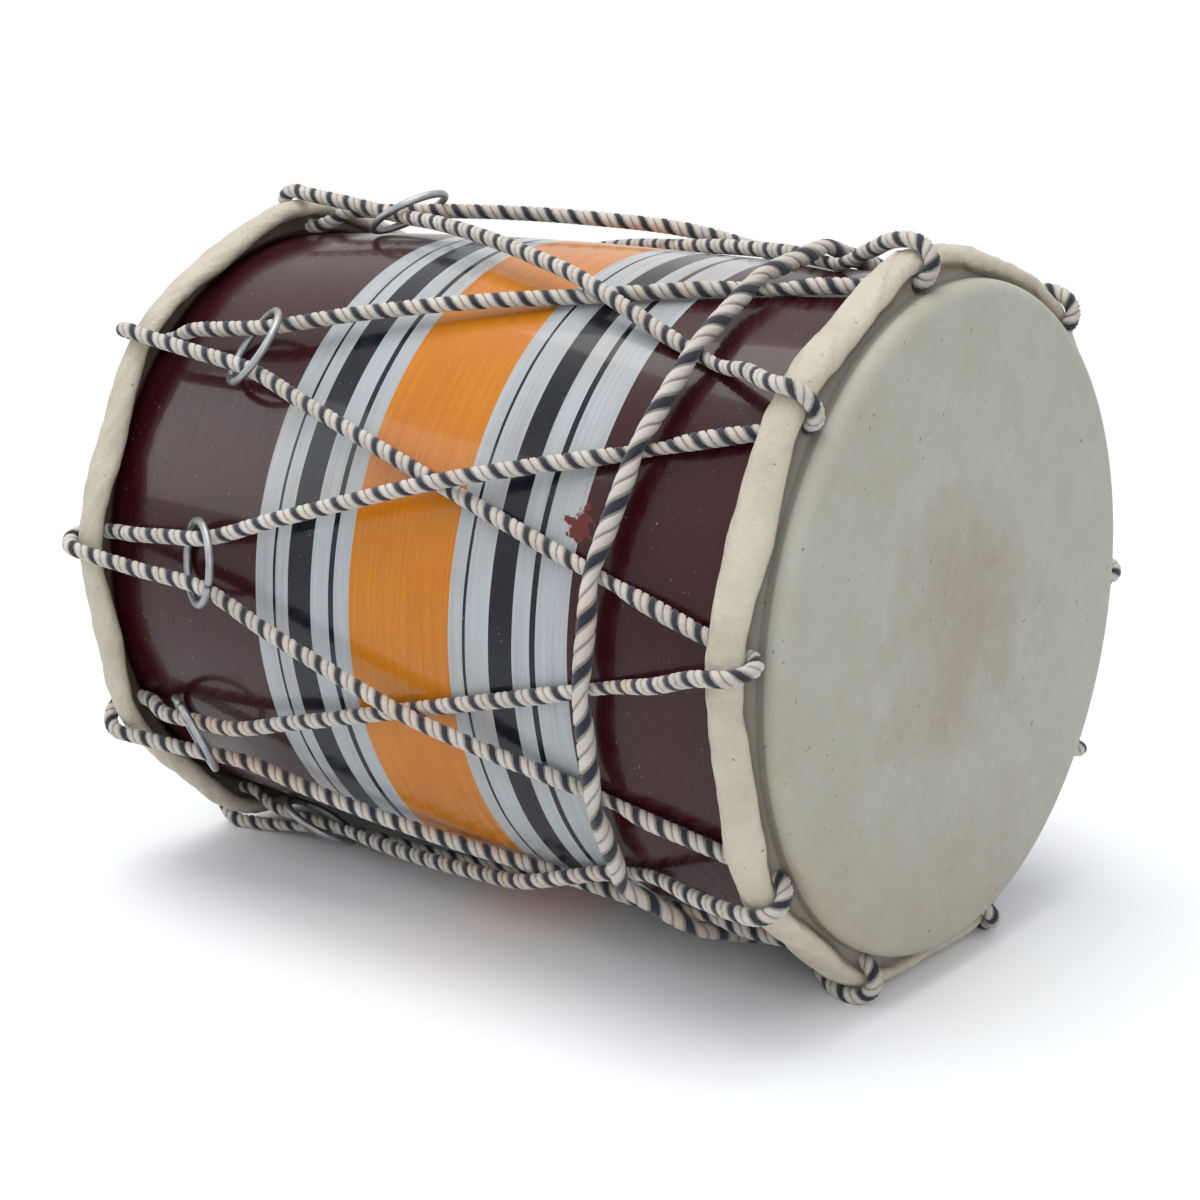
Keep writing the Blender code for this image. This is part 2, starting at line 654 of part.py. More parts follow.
def cut_rope_holes(skin, head):
    """Slits where the rope passes through the skirt, cut along its own course with a gap all round."""
    width = ROPE_DIAMETER + 4 * GAP
    tubes = bmesh.new()
    for number in range(HOLES):
        legs = loop(head, number)
        if over_roll(head, number, leaving=False):
            legs = legs[::-1]
        under = legs[: len(legs) - 2]
        inward = head.roll - head.side * head.half_width
        angle = math.atan2(under[0, 1], -under[0, 0])
        start = [*place(angle, float(barrel_radius(inward)) + LYING, inward), 1]
        route = np.vstack([start, under])
        blank = bpy.data.objects.new("blank", rope_curve("blank", route, width))
        cutters.objects.link(blank)
        bpy.context.view_layer.update()
        mesh = evaluated_mesh(blank)
        bpy.data.objects.remove(blank)
        tubes.from_mesh(mesh)
        bpy.data.meshes.remove(mesh)
    mesh = bpy.data.meshes.new(f"{skin.name}_rope_holes")
    tubes.to_mesh(mesh)
    tubes.free()
    holes = add_object(mesh.name, mesh, cutters, drum)
    hide_as_cutter(holes)
    cut(skin, holes)


def cut_feet(rope):
    """The flats that the lowest loops stand on, cut level by a block under the floor."""
    bpy.ops.mesh.primitive_cube_add(size=1)
    block = bpy.context.object
    block.name = "floor_block"
    bpy.context.collection.objects.unlink(block)
    cutters.objects.link(block)
    block.scale = (2 * SHELL_LENGTH, 4 * BELLY_RADIUS, BELLY_RADIUS)
    block.location = (0, 0, -BELLY_RADIUS / 2)
    hide_as_cutter(block)
    cut(rope, block)


def centre_over_origin():
    """Moves the whole drum along the floor until the middle of its outline stands over the origin."""
    bpy.context.view_layer.update()
    graph = bpy.context.evaluated_depsgraph_get()
    lows, highs = [], []
    for obj in parts.objects:
        if obj.type != "MESH":
            continue
        mesh = obj.evaluated_get(graph).to_mesh()
        points = np.empty(len(mesh.vertices) * 3, np.float32)
        mesh.vertices.foreach_get("co", points)
        turn = np.array(obj.matrix_world)
        world = points.reshape(-1, 3) @ turn[:3, :3].T + turn[:3, 3]
        lows.append(world.min(axis=0))
        highs.append(world.max(axis=0))
    middle = (np.min(lows, axis=0) + np.max(highs, axis=0)) / 2
    drum.location.x -= float(middle[0])
    drum.location.y -= float(middle[1])
    bpy.context.view_layer.update()


clear_scene()
parts = new_collection("dholak")
cutters = new_collection("dholak cutters")
drum = laid_frame()

rawhide = material("rawhide", (0.62, 0.57, 0.45), 0.62)
cane = material("split_cane", (0.55, 0.40, 0.20), 0.6)
cotton = material("cotton_rope", (0.66, 0.62, 0.55), 0.95)
galvanised = material("galvanised_wire", (0.36, 0.38, 0.40), 0.42, 0.9)

build_shell()
cut_rope_holes(build_skin("bass_skin", BASS, rawhide), BASS)
cut_rope_holes(build_skin("treble_skin", TREBLE, rawhide), TREBLE)
build_hoop("bass_hoop", BASS, cane)
build_hoop("treble_hoop", TREBLE, cane)
build_paste()
cut_feet(rope_object("lacing_rope", lacing_route(), ROPE_DIAMETER, cotton))
rope_object("girth_rope", girth_route(), GIRTH_ROPE_DIAMETER, cotton)
build_rings(galvanised)
centre_over_origin()
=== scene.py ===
"""The dholak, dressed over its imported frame: lacquered shell, rawhide heads, laid rope and wire rings.

Every piece is worked out on the standing drum, whose axis is Z with the bass head up, by the same
formulas as its solids, and is then laid on its side by lay(). Sizes are in metres, and the angles
of holes and places round the drum are in degrees.
"""

import math

import bpy
import numpy as np
from mathutils import Matrix, Vector


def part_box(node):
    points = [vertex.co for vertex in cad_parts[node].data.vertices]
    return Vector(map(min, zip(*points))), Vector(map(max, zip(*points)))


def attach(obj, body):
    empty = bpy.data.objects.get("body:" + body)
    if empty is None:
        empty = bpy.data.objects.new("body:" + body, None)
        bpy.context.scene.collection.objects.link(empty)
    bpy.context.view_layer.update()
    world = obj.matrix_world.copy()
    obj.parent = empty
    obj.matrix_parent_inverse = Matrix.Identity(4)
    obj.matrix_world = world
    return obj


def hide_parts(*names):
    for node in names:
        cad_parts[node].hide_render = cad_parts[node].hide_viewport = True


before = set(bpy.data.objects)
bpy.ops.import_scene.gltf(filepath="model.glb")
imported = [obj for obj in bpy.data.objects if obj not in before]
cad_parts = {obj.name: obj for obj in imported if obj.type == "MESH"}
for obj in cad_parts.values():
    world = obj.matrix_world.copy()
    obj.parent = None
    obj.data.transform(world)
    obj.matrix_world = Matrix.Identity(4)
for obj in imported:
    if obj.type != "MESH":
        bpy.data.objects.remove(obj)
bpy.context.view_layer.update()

# The shell's form: a barrel turned from one block of wood, fattest near its middle and narrower at
# the treble end. Every other piece is set out from its outer surface.

SHELL_LENGTH = 0.317
BELLY_RADIUS = 0.1207
BASS_RIM_DROP = 0.0019
TREBLE_RIM_DROP = 0.0077
BELLY_PLACE = 0.005
SHELL_WALL = 0.012
RIM_ROUND = 0.0050
BASS_RIM_RADIUS = BELLY_RADIUS - BASS_RIM_DROP
TREBLE_RIM_RADIUS = BELLY_RADIUS - TREBLE_RIM_DROP
TURN = 2 * math.pi


def barrel_radius(z):
    """The shell's outer radius: one parabola from the belly to each rim."""
    half = SHELL_LENGTH / 2
    far = np.where(z > BELLY_PLACE, half - BELLY_PLACE, half + BELLY_PLACE)
    drop = np.where(z > BELLY_PLACE, BASS_RIM_DROP, TREBLE_RIM_DROP)
    return BELLY_RADIUS - drop * ((z - BELLY_PLACE) / far) ** 2


def place(angle, radius, z):
    """Points of the standing drum: an angle of 0 is the side that ends up on top."""
    angle, radius, z = np.broadcast_arrays(angle, radius, z)
    return np.stack([-radius * np.cos(angle), radius * np.sin(angle), z], axis=-1)


def smooth_step(share):
    share = np.clip(share, 0, 1)
    return share * share * (3 - 2 * share)


# The rolls: at each end the skin is lapped round a cane hoop, which nine loops of rope hold off the
# shell and pinch. The sizes of skin and rope set where the rolls and the loops lie.

SKIN_THICKNESS = 0.0012
BASS_ROLL_WIDTH = 0.0160
BASS_ROLL_THICKNESS = 0.0090
BASS_ROLL_SETBACK = 0.0153
TREBLE_ROLL_WIDTH = 0.0120
TREBLE_ROLL_THICKNESS = 0.0080
TREBLE_ROLL_SETBACK = 0.0098
ROLL_PINCH = 0.85
ROPE_DIAMETER = 0.0058
FOOT_FLAT_SHARE = 0.1
GAP = 0.0003
SKIRT_GAP = 0.0007
LOOP_GAP = 0.0009
ROPE = ROPE_DIAMETER / 2

# The nine rope holes of each head as the drum is laced, from the top round by the near side
BASS_HOLES = (-9.0, -46.0, -85.0, -124.0, -159.2, -198.2, -235.0, -266.0, -319.0)
TREBLE_HOLES = (0.0, -47.0, -85.0, -120.0, -158.1, -199.1, -235.0, -275.0, -317.0)
LOWEST_HOLES = (4, 5)
HOLES = len(BASS_HOLES)


class Head:
    """One end of the drum: the roll of skin round its hoop, and its nine rope holes."""

    def __init__(self, side, width, thickness, setback, holes):
        self.side = side
        self.setback = setback
        self.roll = side * SHELL_LENGTH / 2 - side * setback
        self.half_width = width / 2
        self.half_thickness = thickness / 2
        self.holes = np.radians(holes)
        self.seat = float(barrel_radius(self.roll - side * self.half_width))
        self.skirt = self.seat + SKIRT_GAP + SKIN_THICKNESS
        self.low = self.skirt + GAP + self.half_thickness
        self.laced = self.seat + GAP + ROPE_DIAMETER + LOOP_GAP + self.half_thickness * ROLL_PINCH

    def hole_angle(self, number):
        """Holes are counted on past the last one, so that a strand never jumps a turn."""
        return self.holes[number % HOLES] - TURN * (number // HOLES)

    def looseness(self, angle):
        """0 at a rope hole and 1 midway between two, as a raised cosine of the angle."""
        angle = np.asarray(angle)[..., None]
        after = np.mod(self.holes - angle, TURN).min(axis=-1)
        before = np.mod(angle - self.holes, TURN).min(axis=-1)
        return 0.5 - 0.5 * np.cos(TURN * before / np.maximum(before + after, 1e-9))

    def roll_radius(self, angle):
        """The roll's centre line: held off the shell by the rope at a hole, close to it between holes."""
        return self.laced - (self.laced - self.low) * self.looseness(angle)

    def roll_scale(self, angle):
        """The share of its free section that the roll keeps: the rope pinches it at a hole."""
        return ROLL_PINCH + (1 - ROLL_PINCH) * self.looseness(angle)

    def loop_point(self, turn):
        """The rope's place round the pinched roll: -90 degrees below, 0 on its face side, 90 on its crown."""
        reach = ROPE + LOOP_GAP
        along = (self.half_width * ROLL_PINCH + reach) * np.cos(turn)
        out = (self.half_thickness * ROLL_PINCH + reach) * np.sin(turn)
        return self.roll + self.side * along, self.laced + out

    def foot(self):
        """How far below the axis the flat of the rope's lowest loops lies."""
        crown = self.loop_point(math.pi / 2)[1]
        legs = [self.hole_angle(n) - LEG_STEP / self.laced for n in LOWEST_HOLES]
        return min(-crown * math.cos(a) for a in legs) + ROPE - FOOT_FLAT_SHARE * ROPE_DIAMETER


LEG_STEP = ROPE + GAP
BASS = Head(1, BASS_ROLL_WIDTH, BASS_ROLL_THICKNESS, BASS_ROLL_SETBACK, BASS_HOLES)
TREBLE = Head(-1, TREBLE_ROLL_WIDTH, TREBLE_ROLL_THICKNESS, TREBLE_ROLL_SETBACK, TREBLE_HOLES)


# The laid frame: the standing drum on its side, its treble end down until both ends touch the floor

TIP = math.atan2(BASS.foot() - TREBLE.foot(), BASS.roll - TREBLE.roll)
AXIS_HEIGHT = BASS.foot() * math.cos(TIP) - BASS.roll * math.sin(TIP)
ALONG = np.array((math.cos(TIP), 0, math.sin(TIP)))
UP = np.array((-math.sin(TIP), 0, math.cos(TIP)))
ASIDE = np.array((0, 1, 0))


def shell_section():
    """The shell's closed section as (radius, z), from the middle of the bass rim round the outside."""
    half = SHELL_LENGTH / 2
    turns = np.radians(np.linspace(90, 0, 9))
    bass = [
        (BASS_RIM_RADIUS + RIM_ROUND * (math.cos(t) - 1), half + RIM_ROUND * (math.sin(t) - 1))
        for t in turns
    ]
    turns = np.radians(np.linspace(0, -90, 9))
    treble = [
        (TREBLE_RIM_RADIUS + RIM_ROUND * (math.cos(t) - 1), RIM_ROUND * (1 + math.sin(t)) - half)
        for t in turns
    ]
    outer_z = np.linspace(half - RIM_ROUND, RIM_ROUND - half, 90)[1:-1]
    inner_z = np.linspace(-half, half, 24)
    outer = np.column_stack([barrel_radius(outer_z), outer_z])
    inner = np.column_stack([barrel_radius(inner_z) - SHELL_WALL, inner_z])
    return np.vstack([bass, outer, treble, inner])


def lay(points):
    """The world places of points given on the standing drum."""
    points = np.asarray(points, dtype=float)
    return CENTRE + points[..., 2:3] * ALONG + points[..., 1:2] * ASIDE - points[..., 0:1] * UP


CENTRE = np.array((0, 0, AXIS_HEIGHT))
section = shell_section()
outline = [place(side, section[:, 0], section[:, 1]) for side in (0, math.pi)]
edge_x = lay(np.vstack(outline))[:, 0]
shell_low, shell_high = (np.array(corner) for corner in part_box("shell"))
CENTRE[0] = (shell_low[0] + shell_high[0] - edge_x.min() - edge_x.max()) / 2
CENTRE[1] = (shell_low[1] + shell_high[1]) / 2


# The camera, where the photograph was taken from, found from the drum's outlines and rope crossings

CAMERA_PLACE = (-0.2630, -0.8611, 0.6232)
CAMERA_AIM = (0.25396, 0.78360, -0.56699)
CAMERA_UP = (-0.96722, 0.20575, -0.14887)
SENSOR_WIDTH = 36
IMAGE_WIDTH = 1200
FOCAL_LENGTH_IN_PIXELS = 2840

camera_data = bpy.data.cameras.new("camera")
camera_data.sensor_width = SENSOR_WIDTH
camera_data.lens = SENSOR_WIDTH * FOCAL_LENGTH_IN_PIXELS / IMAGE_WIDTH
camera = bpy.data.objects.new("camera", camera_data)
bpy.context.scene.collection.objects.link(camera)
bpy.context.scene.camera = camera
aim = Vector(lay([CAMERA_AIM])[0] - CENTRE).normalized()
camera_up = Vector(lay([CAMERA_UP])[0] - CENTRE)
right = aim.cross(camera_up).normalized()
turn = Matrix((right, right.cross(aim), -aim)).transposed().to_4x4()
camera.matrix_world = Matrix.Translation(lay([CAMERA_PLACE])[0]) @ turn


class Look:
    """A material in the making: node() adds a node, and takes numbers, colours or sockets as inputs."""

    def __init__(self, name):
        self.material = bpy.data.materials.new(name)
        self.material.use_nodes = True
        self.tree = self.material.node_tree
        self.shader = self.tree.nodes["Principled BSDF"]
        self.coords = self.tree.nodes.new("ShaderNodeTexCoord").outputs["Object"]

    def set(self, node, inputs):
        for key, value in inputs.items():
            socket = node.inputs[key]
            if isinstance(value, bpy.types.NodeSocket):
                self.tree.links.new(value, socket)
            else:
                socket.default_value = value
        return node

    def node(self, kind, inputs=None, **settings):
        made = self.tree.nodes.new(kind)
        for key, value in settings.items():
            setattr(made, key, value)
        return self.set(made, inputs or {})

    def surface(self, **inputs):
        self.set(self.shader, {key.replace("_", " "): value for key, value in inputs.items()})

    def attribute(self, name):
        return self.node("ShaderNodeAttribute", attribute_name=name).outputs["Fac"]

    def noise(self, scale, detail=3, rough=0.5, vector=None):
        inputs = {"Vector": vector or self.coords, "Scale": scale, "Detail": detail, "Roughness": rough}
        return self.node("ShaderNodeTexNoise", inputs).outputs["Fac"]

    def steps(self, value, low, high, to_low=0.0, to_high=1.0):
        inputs = {"Value": value, "From Min": low, "From Max": high, "To Min": to_low, "To Max": to_high}
        return self.node("ShaderNodeMapRange", inputs, clamp=True).outputs["Result"]

    def math(self, operation, a, b):
        return self.node("ShaderNodeMath", {0: a, 1: b}, operation=operation).outputs[0]

    def mix(self, share, a, b, blend="MIX"):
        made = self.node("ShaderNodeMix", data_type="RGBA", blend_type=blend)
        for index, value in ((0, share), (6, a), (7, b)):
            if isinstance(value, bpy.types.NodeSocket):
                self.tree.links.new(value, made.inputs[index])
            else:
                made.inputs[index].default_value = value if index == 0 else (*value, 1)
        return made.outputs[2]

    def ramp(self, value, stops, interpolation="LINEAR"):
        made = self.node("ShaderNodeValToRGB", {"Fac": value})
        made.color_ramp.interpolation = interpolation
        elements = made.color_ramp.elements
        for index, (at, colour) in enumerate(stops):
            element = elements[index] if index < 2 else elements.new(at)
            element.position = at
            element.color = (*colour, 1)
        return made.outputs["Color"]

    def bump(self, height, strength, distance=0.0005, normal=None):
        inputs = {"Height": height, "Strength": strength, "Distance": distance}
        if normal:
            inputs["Normal"] = normal
        return self.node("ShaderNodeBump", inputs).outputs["Normal"]


def mesh_piece(name, points, faces, body, material, values=None):
    """A smooth mesh object that rides on a body, with named values stored at its points."""
    mesh = bpy.data.meshes.new(name)
    mesh.from_pydata(points.tolist(), [], faces)
    mesh.shade_smooth()
    for key, value in (values or {}).items():
        stored = mesh.attributes.new(key, "FLOAT", "POINT")
        stored.data.foreach_set("value", np.asarray(value, np.float32).ravel())
    mesh.materials.append(material)
    made = bpy.data.objects.new(name, mesh)
    bpy.context.scene.collection.objects.link(made)
    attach(made, body)
    return made


def tube_faces(rows, columns, closed):
    """Quads between rows of a tube's points, round its columns, and back to the first row if closed."""
    first = np.arange(rows if closed else rows - 1)[:, None]
    column = np.arange(columns)[None]
    beyond = (column + 1) % columns
    after = (first + 1) % rows
    here, there = first * columns, after * columns
    quads = np.stack([here + column, here + beyond, there + beyond, there + column])
    return quads.reshape(4, -1).T.tolist()


# The shell: a turned wooden barrel, dipped in maroon lacquer, with its bands brushed on by hand
# while it turned. Its own gloss coat lies over every colour. The hollow inside is bare wood.

SHELL_COLUMNS = 240
BAND_WOBBLE = 0.0022
BAND_EDGES = (0.0719, 0.0211, -0.0238, -0.0705)
MAROON, PALE = (0.032, 0.0032, 0.0050), (0.37, 0.405, 0.42)
INK, ORANGE = (0.004, 0.005, 0.010), (0.50, 0.170, 0.006)
BANDS = (
    (BAND_EDGES[3], PALE), (-0.0617, INK), (-0.0603, PALE), (-0.0533, INK), (-0.0423, PALE), (-0.0340, INK),
    (-0.0319, PALE), (BAND_EDGES[2], ORANGE), (BAND_EDGES[1], PALE), (0.0276, INK), (0.0297, PALE),
    (0.0389, INK), (0.0487, PALE), (0.0558, INK), (0.0588, PALE), (BAND_EDGES[0], MAROON),
)
CHIP_ANGLE, CHIP_PLACE = math.radians(-68.0), 0.0735

lacquer = Look("lacquered_shell")
wobble = lacquer.math("MULTIPLY_ADD", lacquer.noise(14, 2), BAND_WOBBLE)
wobble.node.inputs[2].default_value = -BAND_WOBBLE / 2
height = lacquer.math("ADD", lacquer.attribute("axial"), wobble)
share = lacquer.steps(height, -SHELL_LENGTH / 2, SHELL_LENGTH / 2)
stops = [(0, MAROON)] + [(0.5 + z / SHELL_LENGTH, colour) for z, colour in BANDS]
painted = lacquer.ramp(share, stops, "CONSTANT")
across_bands = lacquer.math("MULTIPLY", lacquer.attribute("axial"), 900)
round_bands = lacquer.math("MULTIPLY", lacquer.attribute("angle"), 1.6)
brushed = lacquer.node("ShaderNodeCombineXYZ", {0: across_bands, 1: round_bands})
streaks = lacquer.noise(1.0, 4, 0.6, brushed.outputs[0])
painted = lacquer.mix(lacquer.steps(streaks, 0.35, 0.75, 0, 0.30), painted, (0.22, 0.05, 0.02), "MULTIPLY")
browner = lacquer.steps(lacquer.noise(22, 3), 0.45, 0.75, 0, 0.45)
painted = lacquer.mix(browner, painted, (0.85, 0.62, 0.50), "MULTIPLY")
chip = lay(place(CHIP_ANGLE, barrel_radius(CHIP_PLACE), CHIP_PLACE)[None])[0]
chip_far = lacquer.node("ShaderNodeVectorMath", {0: lacquer.coords, 1: tuple(chip)}, operation="DISTANCE")
frayed = lacquer.steps(lacquer.noise(240, 3), 0.3, 0.7, -0.004, 0.004)
ragged = lacquer.math("ADD", chip_far.outputs["Value"], frayed)
painted = lacquer.mix(lacquer.steps(ragged, 0.0045, 0.0055, 1, 0), painted, (0.10, 0.012, 0.010))
dust = lacquer.steps(lacquer.noise(900, 1), 0.74, 0.80, 0, 0.35)
painted = lacquer.mix(dust, painted, (0.5, 0.48, 0.46))
wood = lacquer.mix(lacquer.noise(60, 4), (0.36, 0.22, 0.11), (0.52, 0.35, 0.20))
colour = lacquer.mix(lacquer.attribute("inside"), painted, wood)
lacquer_relief = lacquer.bump(lacquer.noise(55, 3), 0.10, 0.0008)
lacquer_relief = lacquer.bump(streaks, 0.05, 0.0003, lacquer_relief)
lacquer.surface(Base_Color=colour, Normal=lacquer_relief)
lacquer.surface(Roughness=lacquer.steps(streaks, 0.3, 0.8, 0.22, 0.40))
lacquer.surface(Coat_Weight=0.30, Coat_Roughness=0.06, Specular_IOR_Level=0.16)

turns = np.linspace(0, TURN, SHELL_COLUMNS, endpoint=False)
shell_points = lay(place(turns[None], section[:, :1], section[:, 1:]))
inside = np.repeat(section[:, 0] < barrel_radius(section[:, 1]) - 0.9 * SHELL_WALL, SHELL_COLUMNS)
shell_faces = tube_faces(len(section), SHELL_COLUMNS, closed=True)
shell_values = {
    "axial": np.repeat(section[:, 1], SHELL_COLUMNS),
    "angle": np.tile(turns, len(section)),
    "inside": inside,
}
shell = mesh_piece(
    "shell_turned", shell_points.reshape(-1, 3), shell_faces, "drum", lacquer.material, shell_values
)
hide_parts("shell")


# The heads: rawhide soaked, drawn over the rim and lapped round a hoop, where it dried lumpy. The
# face is tight and thin, with a painted shadow of the tuning paste darkening its middle, and the roll
# is paler, creased and full of pores, with painted shade under it.

SKIN_COLUMNS = 432
LUMP_HEIGHT = 0.0006

rawhide = Look("rawhide")
on_roll = rawhide.attribute("on_roll")
patches = rawhide.steps(rawhide.noise(9, 4, 0.6), 0.40, 0.72)
face_colour = rawhide.mix(patches, (0.355, 0.355, 0.300), (0.325, 0.295, 0.230))
# painted shadow of the tuning paste seen through the skin: darkest within 18 mm of the middle and gone by 60
# mm, on both heads alike
blotched = rawhide.steps(rawhide.noise(28, 5, 0.65), 0.2, 0.8, -0.03, 0.03)
from_middle = rawhide.math("ADD", rawhide.attribute("from_middle"), blotched)
paste_shadow = rawhide.steps(from_middle, 0.018, 0.060, 0.55, 0)
face_colour = rawhide.mix(paste_shadow, face_colour, (0.245, 0.195, 0.130))
cloud = rawhide.steps(rawhide.noise(45, 5, 0.65), 0.35, 0.7, 0, 0.5)
face_colour = rawhide.mix(cloud, face_colour, (0.86, 0.82, 0.72), "MULTIPLY")
roll_colour = rawhide.mix(rawhide.noise(70, 5, 0.6), (0.34, 0.29, 0.215), (0.55, 0.505, 0.415))
hide = rawhide.mix(on_roll, face_colour, roll_colour)
specks = rawhide.steps(rawhide.noise(420, 2), 0.70, 0.76, 0, 0.75)
hide = rawhide.mix(specks, hide, (0.10, 0.07, 0.045))
# painted shade under the roll: darkens the roll's underside, the skirt beneath it and the tucked edge
hide = rawhide.mix(rawhide.attribute("shade_under_roll"), hide, (0.13, 0.09, 0.06), "MULTIPLY")
wrinkled = rawhide.math("MULTIPLY", rawhide.noise(34, 6, 0.72), on_roll)
pores = rawhide.bump(wrinkled, 0.9, 0.0030)
pores = rawhide.bump(rawhide.noise(650, 4, 0.7), 0.35, 0.0004, pores)
pores = rawhide.bump(rawhide.noise(120, 3), 0.30, 0.0010, pores)
uneven = rawhide.steps(rawhide.noise(160, 3), 0.3, 0.7, 0.46, 0.66)
rawhide.surface(Base_Color=hide, Roughness=uneven, Normal=pores)
rawhide.surface(Subsurface_Weight=0.08, Subsurface_Scale=0.003)


def skin_section(head):
    """The skin's closed section: (distance from the roll's centre, radius, share of the roll, painted shade
    under the roll).
    """
    face = head.setback + GAP + SKIN_THICKNESS
    shoulder = RIM_ROUND + GAP + SKIN_THICKNESS
    flat = head.skirt - shoulder
    rows = [(face, r, 0, 0) for r in np.linspace(0.001, 1, 30) * flat]
    for turn in np.radians(np.linspace(80, 0, 12)):
        rows.append((face - shoulder * (1 - math.sin(turn)), flat + shoulder * math.cos(turn), 0, 0))
    # the skirt under the roll takes half of the painted shade
    for u in np.linspace(face - shoulder, head.half_width * 0.72, 5)[1:]:
        rows.append((u, head.skirt, 0, 0.5))
    # deep is the painted shade on the roll's underside, next to the shell
    for turn in np.radians(np.linspace(-50, 250, 44)):
        deep = max(0, -math.sin(turn)) ** 2
        radius = head.low + head.half_thickness * math.sin(turn)
        rows.append((head.half_width * math.cos(turn), radius, 1, deep))
    inner = head.skirt - SKIN_THICKNESS
    rows.append((-head.half_width * 0.2, head.skirt + 0.3 * GAP, 0, 1))
    rows.append((-head.half_width * 0.2, inner, 0, 1))
    for turn in np.radians(np.linspace(0, 80, 8)):
        radius = shoulder - SKIN_THICKNESS
        rows.append((face - shoulder + radius * math.sin(turn), flat + radius * math.cos(turn), 0, 0))
    rows += [(face - SKIN_THICKNESS, r, 0, 0) for r in np.linspace(1, 0.001, 10) * flat]
    return np.array(rows)


def lumps(angle, seed):
    """Hand-made unevenness round a roll: a sum of sines with random phases, within about 1."""
    random = np.random.default_rng(seed)
    waves = [(count, random.uniform(0, TURN), 1 / (1 + count / 22)) for count in (5, 9, 14, 23, 37, 61)]
    return sum(share * np.sin(count * angle + phase) for count, phase, share in waves) / 3


def build_skin(name, head, seed):
    rows = skin_section(head)
    angle = np.linspace(0, TURN, SKIN_COLUMNS, endpoint=False)[None]
    u, radius, roll, shade_under_roll = (rows[:, k : k + 1] for k in range(4))
    scale = head.roll_scale(angle)
    swell = LUMP_HEIGHT * lumps(angle, seed)
    fold = LUMP_HEIGHT * lumps(angle * 3 + 60 * u * roll, seed + 1)
    pressed = head.roll_radius(angle) + (radius - head.low) * (scale + swell / head.half_thickness) + fold
    radius = np.where(roll > 0, pressed, radius)
    u = np.where(roll > 0, u * (scale + swell / head.half_thickness), u + 0 * angle)
    points = lay(place(angle, radius, head.roll + head.side * u)).reshape(-1, 3)
    faces = tube_faces(len(rows), SKIN_COLUMNS, closed=False)
    last = (len(rows) - 1) * SKIN_COLUMNS
    faces += [list(range(SKIN_COLUMNS)), list(range(last, last + SKIN_COLUMNS))[::-1]]
    spread = np.ones_like(angle)
    values = {"on_roll": roll * spread, "shade_under_roll": shade_under_roll * spread, "from_middle": radius * spread}
    skin = mesh_piece(f"{name}_stretched", points, faces, "drum", rawhide.material, values)
    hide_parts(name)


build_skin("bass_skin", BASS, 3)
build_skin("treble_skin", TREBLE, 8)


# The tuning rings: 3 mm galvanised wire bent round and left with a butt joint, dull and a little rusty.
# Each one rides on its own body and lies over one pair of strands.

RING_DIAMETER = 0.0340
RING_WIRE = 0.0030
RING_LEAN = math.radians(28)
LOW_RING_LEAN = math.radians(18)
RING_TIGHT_SETBACK = 0.0685
RING_SLACKS = (0.002, 0.0, 0.0, 0.022, 0.015, 0.004, 0.0, 0.008, 0.003)
ROPE_SQUEEZE = 0.80
RING = (RING_DIAMETER - RING_WIRE) / 2
WIRE = RING_WIRE / 2
RING_TIGHT_PLACE = RING_TIGHT_SETBACK - SHELL_LENGTH / 2
RING_ROWS, WIRE_COLUMNS = 96, 14
SEAM_DEPTH = 0.35
SEAM_WIDTH = 0.035
FIRST_SEAM, SEAM_STEP = 2.1, 1.9


class RingSeat:
    """How a ring leans over the two strands inside it: flatter, on squeezed strands, next to the floor."""

    def __init__(self, number):
        self.low = number % HOLES in LOWEST_HOLES
        self.lean = LOW_RING_LEAN if self.low else RING_LEAN
        self.rope = ROPE * ROPE_SQUEEZE if self.low else ROPE
        rise = RING * math.sin(self.lean)
        room = rise**2 - (WIRE + self.rope + (2.5 if self.low else 3.5) * GAP) ** 2
        self.height = rise + WIRE + GAP
        self.reach = RING * math.cos(self.lean)
        self.spread = math.sqrt(max(room, 0)) / math.tan(self.lean)
        ring_rise = rise * (1 - math.sqrt(1 - (self.spread / RING) ** 2))
        wire_rise = ring_rise + self.spread**2 / (2 * TREBLE.seat)
        self.over_wire = wire_rise + 2 * WIRE + 3 * GAP + ROPE


def ring_frame(number):
    """A ring's tight place and its own axes: toward the bass, and out of the shell."""
    angle = TREBLE.hole_angle(number)
    step = 0.0005
    rise = float(barrel_radius(RING_TIGHT_PLACE + step) - barrel_radius(RING_TIGHT_PLACE - step))
    slope = rise / (2 * step)
    outward = Vector(place(angle, 1, 0))
    along = (Vector((0, 0, 1)) + outward * slope).normalized()
    out = (outward - Vector((0, 0, 1)) * slope).normalized()
    centre = Vector(place(angle, float(barrel_radius(RING_TIGHT_PLACE)), RING_TIGHT_PLACE))
    return centre + out * RingSeat(number).height, along, out


zinc = Look("dull_zinc_wire")
spangle = zinc.noise(260, 4, 0.6)
metal = zinc.mix(spangle, (0.20, 0.21, 0.22), (0.44, 0.45, 0.46))
rust = zinc.steps(zinc.noise(90, 4, 0.65), 0.58, 0.70, 0, 0.75)
metal = zinc.mix(rust, metal, (0.16, 0.065, 0.025))
metal = zinc.mix(zinc.attribute("seam"), metal, (0.03, 0.025, 0.02))
scratches = zinc.bump(zinc.noise(1100, 3), 0.25, 0.0002)
zinc.surface(Base_Color=metal, Metallic=zinc.steps(rust, 0, 0.75, 0.9, 0.2), Normal=scratches)
zinc.surface(Roughness=zinc.steps(spangle, 0.3, 0.7, 0.34, 0.55))

